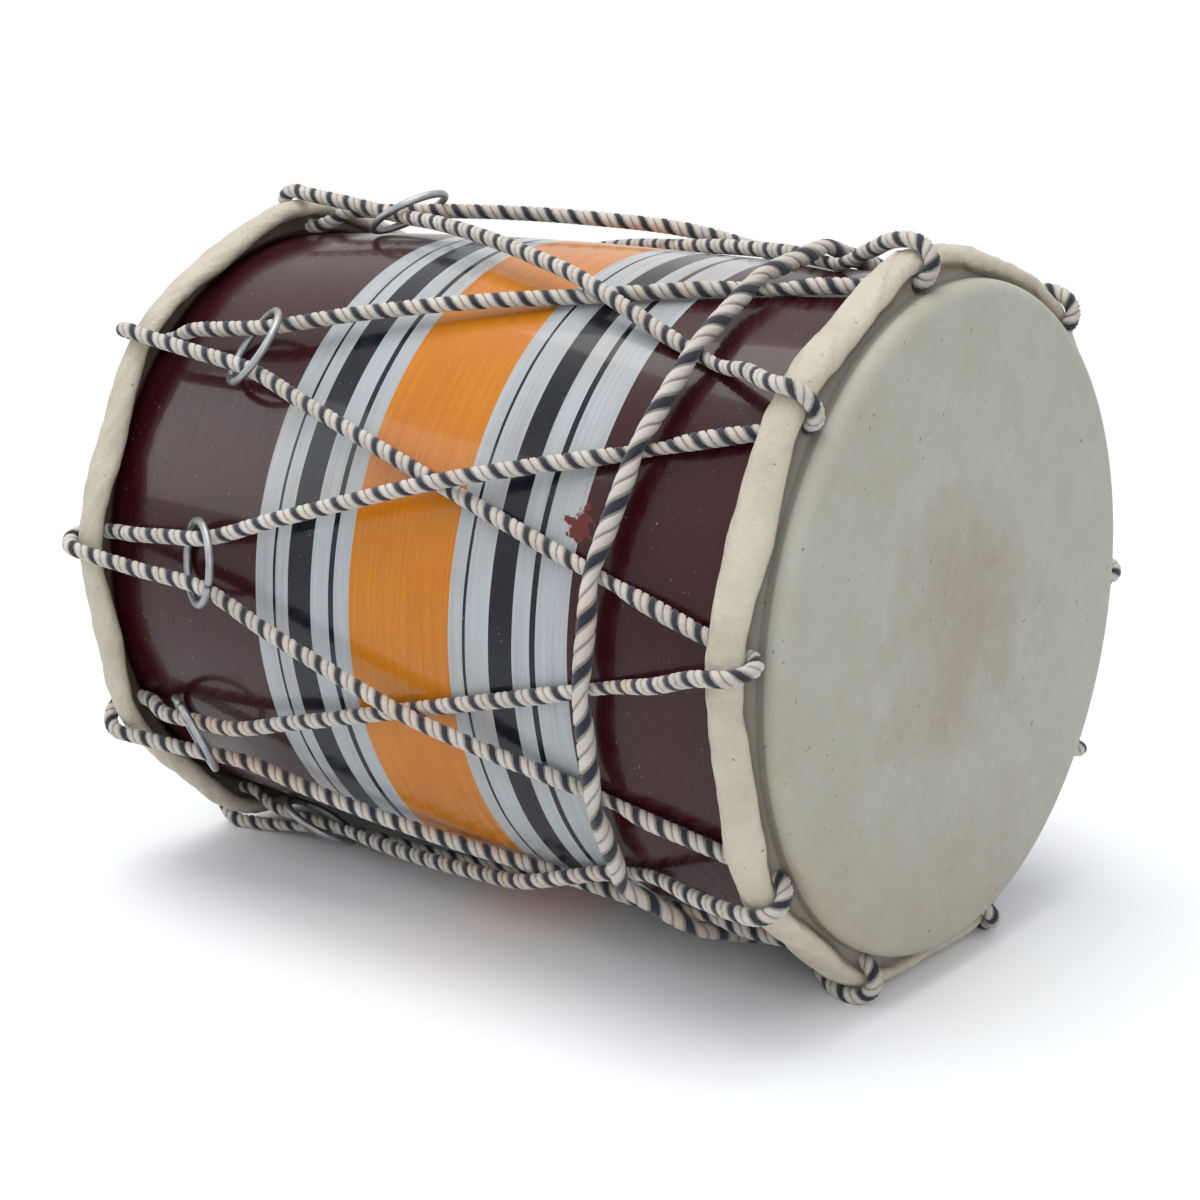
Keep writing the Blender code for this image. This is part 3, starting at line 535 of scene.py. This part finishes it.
for number, slack in enumerate(RING_SLACKS):
    centre, along, out = ring_frame(number)
    lean = RingSeat(number).lean
    centre = np.array(centre - along * slack)
    forth = np.array(along * math.cos(lean) + out * math.sin(lean))
    normal = np.array(out * math.cos(lean) - along * math.sin(lean))
    across = np.cross(normal, forth)
    around = np.linspace(0, TURN, RING_ROWS, endpoint=False)
    seam_angle = (FIRST_SEAM + SEAM_STEP * number) % TURN
    seam = np.exp(-((np.angle(np.exp(1j * (around - seam_angle))) / SEAM_WIDTH) ** 2))
    outward = np.cos(around)[:, None] * forth + np.sin(around)[:, None] * across
    turns = np.linspace(0, TURN, WIRE_COLUMNS, endpoint=False)
    wire = (WIRE * (1 - SEAM_DEPTH * seam))[:, None, None]
    shift = np.cos(turns)[None, :, None] * outward[:, None] + np.sin(turns)[None, :, None] * normal
    points = lay((centre + RING * outward[:, None] + wire * shift).reshape(-1, 3))
    ring_faces = tube_faces(RING_ROWS, WIRE_COLUMNS, closed=True)
    ring = mesh_piece(
        f"wire_ring_{number + 1}", points, ring_faces, f"tuning_ring_{number + 1}",
        zinc.material, {"seam": np.repeat(seam, WIRE_COLUMNS)},
    )
    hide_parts(f"tuning_ring_{number + 1}")


# The ropes: laid cotton of three strands, one of them dark, worn and stained by hands and pigment.
# They follow their solids' routes and are thinned where another rope crosses them.

GIRTH_ROPE_DIAMETER = 0.0068
GIRTH_ROPE = GIRTH_ROPE_DIAMETER / 2
FLOOR_SQUEEZE = 0.68
ROPE_TAIL = 0.008
KNOT_IN_DIAMETERS = 5.0
CROSSING_GAP = 0.0009
TWIST_GAP = 0.0019
STRAND_STEP = 0.036
BASS_HOLES_ENTERED_FROM_OUTSIDE = (0, 1)
GIRTH_KNOT_ANGLE = math.radians(-292.5)
LACING_KNOT_PLACE = -0.042
LYING = ROPE + 1.5 * GAP
CROSSING_OVER = LYING + ROPE_DIAMETER + CROSSING_GAP
UNDER_GIRTH = ROPE * ROPE_SQUEEZE + GAP
LOOP_TURNS = np.radians((-90, -52, -25, 0, 25, 52, 90, 106))
LACING_LAY, GIRTH_LAY = 0.0095, 0.019
ROPE_STEP = 0.00125
LOBE_FOOT, LOBE_RISE = 0.80, 0.21
FLOOR_CLEARANCE = 0.00005

# How far from a tight ring its strands stay low enough for it to slide; its joint's range is less
RING_TRAVEL = 0.024

# Where the girth rope lies along the drum, at angles from the top round by the near side
GIRTH_PLACES = ((0, 0.096), (-40, 0.095), (-75, 0.086), (-110, 0.083), (-132, 0.077),
                (-155, 0.090), (-185, 0.094), (-225, 0.088), (-270, 0.086), (-320, 0.092))


def girth_place(angle):
    """The girth rope's place along the drum, eased from each chosen point to the next."""
    turned_by = np.mod(-np.degrees(angle), 360)
    at = np.array([-a for a, _ in GIRTH_PLACES] + [360.0])
    z = np.array([p for _, p in GIRTH_PLACES] + [GIRTH_PLACES[0][1]])
    index = np.clip(np.searchsorted(at, turned_by, side="right") - 1, 0, len(at) - 2)
    share = smooth_step((turned_by - at[index]) / (at[index + 1] - at[index]))
    return z[index] + (z[index + 1] - z[index]) * share


class Strand:
    """One run of the lacing from a hole in one head to the next hole in the other."""

    def __init__(self, leave, arrive, on_top):
        self.arrive = arrive
        self.on_top = on_top
        self.downward = leave[0] is BASS
        on_floor = leave[1] % HOLES in LOWEST_HOLES and arrive[1] % HOLES in LOWEST_HOLES
        self.share = FLOOR_SQUEEZE if on_floor else 1
        bass, treble = (leave, arrive) if self.downward else (arrive, leave)
        away = -1 if self.downward else 1
        self.seat = RingSeat(treble[1])
        ring_radius = float(barrel_radius(RING_TIGHT_PLACE)) + self.seat.height
        self.treble_angle = TREBLE.hole_angle(treble[1]) - away * LEG_STEP / TREBLE.laced
        self.ring_angle = TREBLE.hole_angle(treble[1]) - away * self.seat.spread / ring_radius
        self.bass_angle = BASS.hole_angle(bass[1]) + away * LEG_STEP / BASS.laced
        self.bass_over = over_roll(*bass, leaving=self.downward)
        self.treble_over = over_roll(*treble, leaving=not self.downward)
        self.girth = BASS.roll
        for _ in range(8):
            self.girth = float(girth_place(self.angle(self.girth)))

    def angle(self, z):
        corners = (TREBLE.roll, RING_TIGHT_PLACE, BASS.roll)
        return np.interp(z, corners, (self.treble_angle, self.ring_angle, self.bass_angle))

    def meet(self, partner):
        """Finds where this strand crosses its partner, which runs the other way a round later."""
        z = np.linspace(RING_TIGHT_PLACE, self.girth, 2000)
        whole_turns = round((self.bass_angle - partner.treble_angle) / TURN)
        lead = self.angle(z) - partner.angle(z) - TURN * whole_turns
        self.crossing = partner.crossing = float(z[np.argmin(np.abs(lead))])

    def heights(self):
        """The rope's centre above the shell at its marks, from the treble roll to the bass roll."""
        crossing_over = CROSSING_OVER if self.share == 1 else LYING + ROPE_DIAMETER + 1.5 * GAP
        lying = crossing_over if self.on_top else LYING
        lying_over = lying - ROPE * (1 - self.share) * (3 if self.on_top else 1)
        settle = self.girth + 2 * GIRTH_ROPE
        free = 4 * GIRTH_ROPE
        if self.treble_over:
            z, radius = TREBLE.loop_point(LOOP_TURNS[-1])
            marks = [(z, radius - float(barrel_radius(z)))]
        else:
            ring_stop = RING_TIGHT_PLACE - RING_TRAVEL - self.seat.reach
            marks = [(TREBLE.roll, LYING), (TREBLE.roll + TREBLE.half_width, LYING)]
            marks.append((ring_stop, self.seat.over_wire))
        marks += [(RING_TIGHT_PLACE, self.seat.height), (self.crossing, lying_over)]
        marks += [(self.girth - free, LYING), (self.girth, UNDER_GIRTH), (settle, UNDER_GIRTH)]
        if self.bass_over:
            z, radius = BASS.loop_point(LOOP_TURNS[-1])
            marks.append((z, radius - float(barrel_radius(z))))
        else:
            marks += [(self.girth + free, LYING), (BASS.roll - BASS.half_width, LYING), (BASS.roll, LYING)]
        return np.array(marks)

    def stations(self):
        """Places along the run where the rope has a point: its marks, and even steps between them."""
        marks = self.heights()[:, 0]
        pairs = zip(marks, marks[1:])
        steps = [np.linspace(a, b, 1 + math.ceil((b - a) / STRAND_STEP))[:-1] for a, b in pairs]
        z = np.concatenate(steps)[1:]
        return z[::-1] if self.downward else z

    def run(self, z):
        """Points along the run with, last, the share of its full thickness that the rope keeps there."""
        marks = self.heights()
        radius = barrel_radius(z) + np.interp(z, marks[:, 0], marks[:, 1])
        reach = np.array((2, 4)) * GIRTH_ROPE
        squeeze = np.interp(np.abs(z - self.girth), reach, (ROPE_SQUEEZE, 1))
        at_ring = z < RING_TIGHT_PLACE + RING
        squeeze = np.where(at_ring, np.minimum(squeeze, self.seat.rope / ROPE), squeeze)
        squeeze = np.minimum(squeeze, self.share)
        return np.column_stack([place(self.angle(z), radius, z), squeeze])


def over_roll(head, number, leaving):
    """Whether a strand lies over the roll: it leaves over and arrives under, but for two bass holes."""
    entered_from_outside = head is BASS and number % HOLES in BASS_HOLES_ENTERED_FROM_OUTSIDE
    return entered_from_outside != leaving


def loop(head, number):
    """The loop through a hole, stepping sideways so that its two legs lie beside each other."""
    turns = LOOP_TURNS[::-1] if over_roll(head, number, leaving=False) else LOOP_TURNS
    aside = LEG_STEP * (1 - 2 * smooth_step(np.linspace(0, 1, len(turns)))) / head.laced
    z, radius = head.loop_point(turns)
    return np.column_stack([place(head.hole_angle(number) + aside, radius, z), np.ones(len(turns))])


def lacing_strands():
    """The runs in the order in which the rope is drawn through, from the last treble hole and back to it."""
    stops = [((TREBLE, BASS)[count % 2], HOLES - 1 + count) for count in range(2 * HOLES + 1)]
    pairs = enumerate(zip(stops, stops[1:]))
    runs = [Strand(leave, arrive, on_top=count >= HOLES) for count, (leave, arrive) in pairs]
    for first, second in zip(runs, runs[HOLES:]):
        first.meet(second)
    return runs


def tied_ends(base, diameter, reach):
    """Two rope ends that meet along a line and are wound once round each other, each past the other.

    base(s) gives the line's points and its outward directions at distances s from the knot's middle.
    One end's offset grows from 0 to a rope's thickness as the other's falls to 0, on opposite sides of
    an axis that turns once. It returns the end that sets out and the end that comes in.
    """
    apart = diameter + TWIST_GAP
    knot = KNOT_IN_DIAMETERS * diameter

    def wound(s, arriving):
        line, out = base(s)
        ahead, _ = base(s + 0.001)
        along = ahead - line
        along /= np.linalg.norm(along, axis=1)[:, None]
        aside = np.cross(along, out)
        share = smooth_step(0.5 + s / knot)
        turn = -TURN * np.clip(0.5 + s / knot, 0, 1)
        offset = apart * share if arriving else apart * (share - 1)
        return line + offset[:, None] * (np.cos(turn)[:, None] * aside + np.sin(turn)[:, None] * out)

    tail = knot / 2 + ROPE_TAIL
    count = math.ceil((tail + reach) / (0.5 * diameter))
    leaving = wound(np.linspace(-tail, reach, count), arriving=False)
    arriving = wound(np.linspace(-reach, tail, count), arriving=True)
    full = np.ones((count, 1))
    return np.hstack([leaving, full]), np.hstack([arriving, full])


def lacing_route():
    """The whole rope's points, with the share of its thickness at each, from one tied end to the other."""
    runs = lacing_strands()
    tied = runs[-1]
    reach = KNOT_IN_DIAMETERS * ROPE_DIAMETER / 2 + ROPE_TAIL + 0.004

    def base(s):
        z = LACING_KNOT_PLACE - s
        return tied.run(z)[:, :3], place(tied.angle(z), 1, 0)

    leaving, arriving = tied_ends(base, ROPE_DIAMETER, reach)
    z = tied.stations()
    route = [leaving, tied.run(z[z < LACING_KNOT_PLACE - 1.3 * reach])]
    route.append(loop(*tied.arrive))
    for run in runs[:-1]:
        route += [run.run(run.stations()), loop(*run.arrive)]
    route += [tied.run(z[z > LACING_KNOT_PLACE + 1.3 * reach]), arriving]
    return np.concatenate(route)


def girth_route():
    """The girth rope's points: over each strand, and straight on to the next, with its ends tied."""
    rise = UNDER_GIRTH + ROPE * ROPE_SQUEEZE + GAP + GIRTH_ROPE * ROPE_SQUEEZE
    low = GIRTH_ROPE + GAP
    knot_height = low + GIRTH_ROPE
    over = sorted((float(np.mod(-run.angle(run.girth), TURN)) for run in lacing_strands()))
    knot = float(np.mod(-GIRTH_KNOT_ANGLE, TURN))
    first = next(i for i, angle in enumerate(over) if angle > knot)
    over = over[first:] + [angle + TURN for angle in over[:first]]

    def lifted(angle, height):
        z = girth_place(-angle)
        return place(-angle, barrel_radius(z) + height, z)

    def base(s):
        angle = knot + s / (BELLY_RADIUS + knot_height)
        return lifted(angle, knot_height), place(-angle, 1, 0)

    reach = KNOT_IN_DIAMETERS * GIRTH_ROPE_DIAMETER / 2 + ROPE_TAIL
    leaving, arriving = tied_ends(base, GIRTH_ROPE_DIAMETER, reach)
    route = [leaving]
    for here, there in zip(over, over[1:]):
        start, end = lifted(here, rise), lifted(there, rise)
        for share in (0, 0.25, 0.5, 0.75):
            point = start + (end - start) * share
            radius = math.hypot(point[0], point[1])
            least = float(barrel_radius(point[2])) + low
            point[:2] *= max(least / radius, 1)
            route.append(np.array([[*point, ROPE_SQUEEZE if share == 0 else 1.0]]))
    route.append(np.array([[*lifted(over[-1], rise), ROPE_SQUEEZE]]))
    route.append(arriving)
    return np.concatenate(route)


def smooth_route(route, step):
    """Points every step along a smooth curve through the route, with the share of thickness at each."""
    spans = np.maximum(np.linalg.norm(np.diff(route[:, :3], axis=0), axis=1), 1e-6)
    at = np.concatenate([[0], np.cumsum(spans)])
    slope = np.gradient(route, at, axis=0)
    along = np.arange(0, at[-1], step)
    index = np.clip(np.searchsorted(at, along, side="right") - 1, 0, len(at) - 2)
    span = (at[index + 1] - at[index])[:, None]
    t = ((along - at[index]) / span[:, 0])[:, None]
    start, end = route[index], route[index + 1]
    curve = (2 * t**3 - 3 * t**2 + 1) * start + (t**3 - 2 * t**2 + t) * span * slope[index]
    return curve + (3 * t**2 - 2 * t**3) * end + (t**3 - t**2) * span * slope[index + 1]


def build_rope(name, route, diameter, lay_length, step, per_strand, material):
    """A laid rope: a three-lobed section that turns once in each lay length along the route."""
    curve = smooth_route(route, step)
    points = lay(curve[:, :3])
    tangent = np.gradient(points, axis=0)
    tangent /= np.linalg.norm(tangent, axis=1)[:, None]
    side = np.cross(tangent[0], (0.3, 0.5, 0.8))
    sides = []
    for direction in tangent:
        side = side - direction * side.dot(direction)
        side = side / np.linalg.norm(side)
        sides.append(side)
    sides = np.array(sides)
    ups = np.cross(tangent, sides)
    columns = 3 * per_strand
    phase = np.arange(columns) / columns * TURN
    lobe = np.abs(np.cos(1.5 * phase))
    radius = diameter / 2 * curve[:, 3:4] * (LOBE_FOOT + LOBE_RISE * np.sqrt(1 - (1 - lobe) ** 2))[None]
    turned_by = phase[None] + (np.arange(len(curve)) * step / lay_length * TURN)[:, None]
    shift = np.cos(turned_by)[..., None] * sides[:, None] + np.sin(turned_by)[..., None] * ups[:, None]
    tube = (points[:, None] + radius[..., None] * shift).reshape(-1, 3)
    tube[:, 2] = np.maximum(tube[:, 2], FLOOR_CLEARANCE)
    faces = tube_faces(len(curve), columns, closed=False)
    last = (len(curve) - 1) * columns
    faces += [list(range(columns))[::-1], list(range(last, last + columns))]
    from_dark = np.abs(np.mod(phase / TURN + 0.5, 1) - 0.5) * 6
    dark = np.tile(np.clip(1 - from_dark, 0, 1), len(curve))
    groove = np.tile(1 - lobe, len(curve))
    made = mesh_piece(f"{name}_laid", tube, faces, "drum", material, {"dark": dark, "groove": groove})
    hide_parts(name)


cotton = Look("laid_cotton")
soiled = cotton.steps(cotton.noise(35, 4, 0.6), 0.35, 0.7)
pale_yarn = cotton.mix(soiled, (0.56, 0.525, 0.47), (0.42, 0.38, 0.33))
stain = cotton.steps(cotton.noise(16, 2), 0.60, 0.72, 0, 0.35)
pale_yarn = cotton.mix(stain, pale_yarn, (0.62, 0.33, 0.22))
dark_yarn = cotton.mix(cotton.noise(300, 3), (0.006, 0.008, 0.018), (0.022, 0.024, 0.036))
yarn = cotton.mix(cotton.steps(cotton.attribute("dark"), 0.10, 0.26), pale_yarn, dark_yarn)
# painted shade in the grooves between the rope's three strands
groove_shade = cotton.steps(cotton.attribute("groove"), 0.45, 1.0, 0, 0.8)
yarn = cotton.mix(groove_shade, yarn, (0.30, 0.26, 0.22), "MULTIPLY")
fibres = cotton.bump(cotton.noise(1500, 4, 0.75), 0.55, 0.0004)
fibres = cotton.bump(cotton.noise(500, 2), 0.4, 0.0005, fibres)
cotton.surface(Base_Color=yarn, Roughness=0.92, Normal=fibres, Sheen_Weight=0.25, Sheen_Roughness=0.5)

build_rope("lacing_rope", lacing_route(), ROPE_DIAMETER, LACING_LAY, ROPE_STEP, 6, cotton.material)
build_rope("girth_rope", girth_route(), GIRTH_ROPE_DIAMETER, GIRTH_LAY, ROPE_STEP, 8, cotton.material)


# Inside, on their own solids: the cane hoops and the cake of tuning paste

cane = Look("split_cane")
grain = cane.noise(90, 5, 0.6)
split_face = cane.mix(grain, (0.42, 0.28, 0.13), (0.66, 0.50, 0.28))
cane.surface(Base_Color=split_face, Roughness=0.6, Normal=cane.bump(grain, 0.4, 0.0005))
paste = Look("tuning_paste")
grit = paste.noise(500, 4, 0.7)
clotted = paste.mix(grit, (0.015, 0.012, 0.010), (0.06, 0.045, 0.035))
paste.surface(Base_Color=clotted, Roughness=0.85, Normal=paste.bump(grit, 0.5, 0.0006))
for node, look in (("bass_hoop", cane), ("treble_hoop", cane), ("tuning_paste", paste)):
    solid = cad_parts[node]
    if not solid.material_slots:
        solid.data.materials.append(look.material)
    for material_slot in solid.material_slots:
        material_slot.material = look.material


# The studio: a pale floor that runs into white, one broad soft light above and two weak fills

FLOOR_REACH = 8
FLOOR_FADES_BETWEEN = (0.35, 1.1)

floor_mesh = bpy.data.meshes.new("floor")
corners = [(x * FLOOR_REACH, y * FLOOR_REACH, 0) for x, y in ((-1, -1), (1, -1), (1, 1), (-1, 1))]
floor_mesh.from_pydata(corners, [], [(0, 1, 2, 3)])
floor = bpy.data.objects.new("floor", floor_mesh)
bpy.context.scene.collection.objects.link(floor)
paper = Look("floor_paper")
paper.surface(Base_Color=(0.93, 0.935, 0.945, 1), Roughness=0.9)
distance = paper.node("ShaderNodeVectorMath", {0: paper.coords}, operation="LENGTH").outputs["Value"]
glow = paper.node("ShaderNodeEmission", {"Color": (1, 1, 1, 1), "Strength": 1.0}).outputs[0]
far_out = paper.steps(distance, *FLOOR_FADES_BETWEEN)
faded = paper.node("ShaderNodeMixShader", {0: far_out, 1: paper.shader.outputs[0], 2: glow})
paper.tree.links.new(faded.outputs[0], paper.tree.nodes["Material Output"].inputs["Surface"])
floor_mesh.materials.append(paper.material)


def soft_light(name, place_at, aim_at, size, power, colour):
    data = bpy.data.lights.new(name, "AREA")
    data.shape = "RECTANGLE"
    data.size, data.size_y = size
    data.energy = power
    data.color = colour
    light = bpy.data.objects.new(name, data)
    bpy.context.scene.collection.objects.link(light)
    light.location = place_at
    light.rotation_euler = (Vector(aim_at) - Vector(place_at)).to_track_quat("-Z", "Y").to_euler()


soft_light("overhead_light", (-0.15, -0.1, 1.7), (0, 0, 0.1), (1.5, 1.3), 21, (1.0, 0.99, 0.97))
soft_light("front_fill", (1.4, -1.5, 0.9), (0.1, 0, 0.12), (1.1, 1.1), 9, (0.97, 0.98, 1.0))
soft_light("left_fill", (-1.6, -1.1, 0.9), (0, 0, 0.12), (1.0, 1.2), 8, (0.96, 0.98, 1.0))

world = bpy.data.worlds.new("white_room")
bpy.context.scene.world = world
world.use_nodes = True
links = world.node_tree.links
nodes = world.node_tree.nodes
nodes.clear()
path = nodes.new("ShaderNodeLightPath")
seen = nodes.new("ShaderNodeMath")
seen.operation = "MAXIMUM"
links.new(path.outputs["Is Camera Ray"], seen.inputs[0])
seen_through = nodes.new("ShaderNodeMath")
seen_through.operation = "MAXIMUM"
links.new(path.outputs["Is Glossy Ray"], seen_through.inputs[0])
links.new(path.outputs["Is Transmission Ray"], seen_through.inputs[1])
links.new(seen_through.outputs[0], seen.inputs[1])
soft_room = nodes.new("ShaderNodeBackground")
soft_room.inputs["Color"].default_value = (0.90, 0.94, 1.0, 1)
soft_room.inputs["Strength"].default_value = 0.75
white_room = nodes.new("ShaderNodeBackground")
white_room.inputs["Strength"].default_value = 1.0
white_room.inputs["Color"].default_value = (1, 1, 1, 1)
either = nodes.new("ShaderNodeMixShader")
links.new(seen.outputs[0], either.inputs[0])
links.new(soft_room.outputs[0], either.inputs[1])
links.new(white_room.outputs[0], either.inputs[2])
links.new(either.outputs[0], nodes.new("ShaderNodeOutputWorld").inputs["Surface"])
bpy.context.scene.view_settings.view_transform = "Standard"
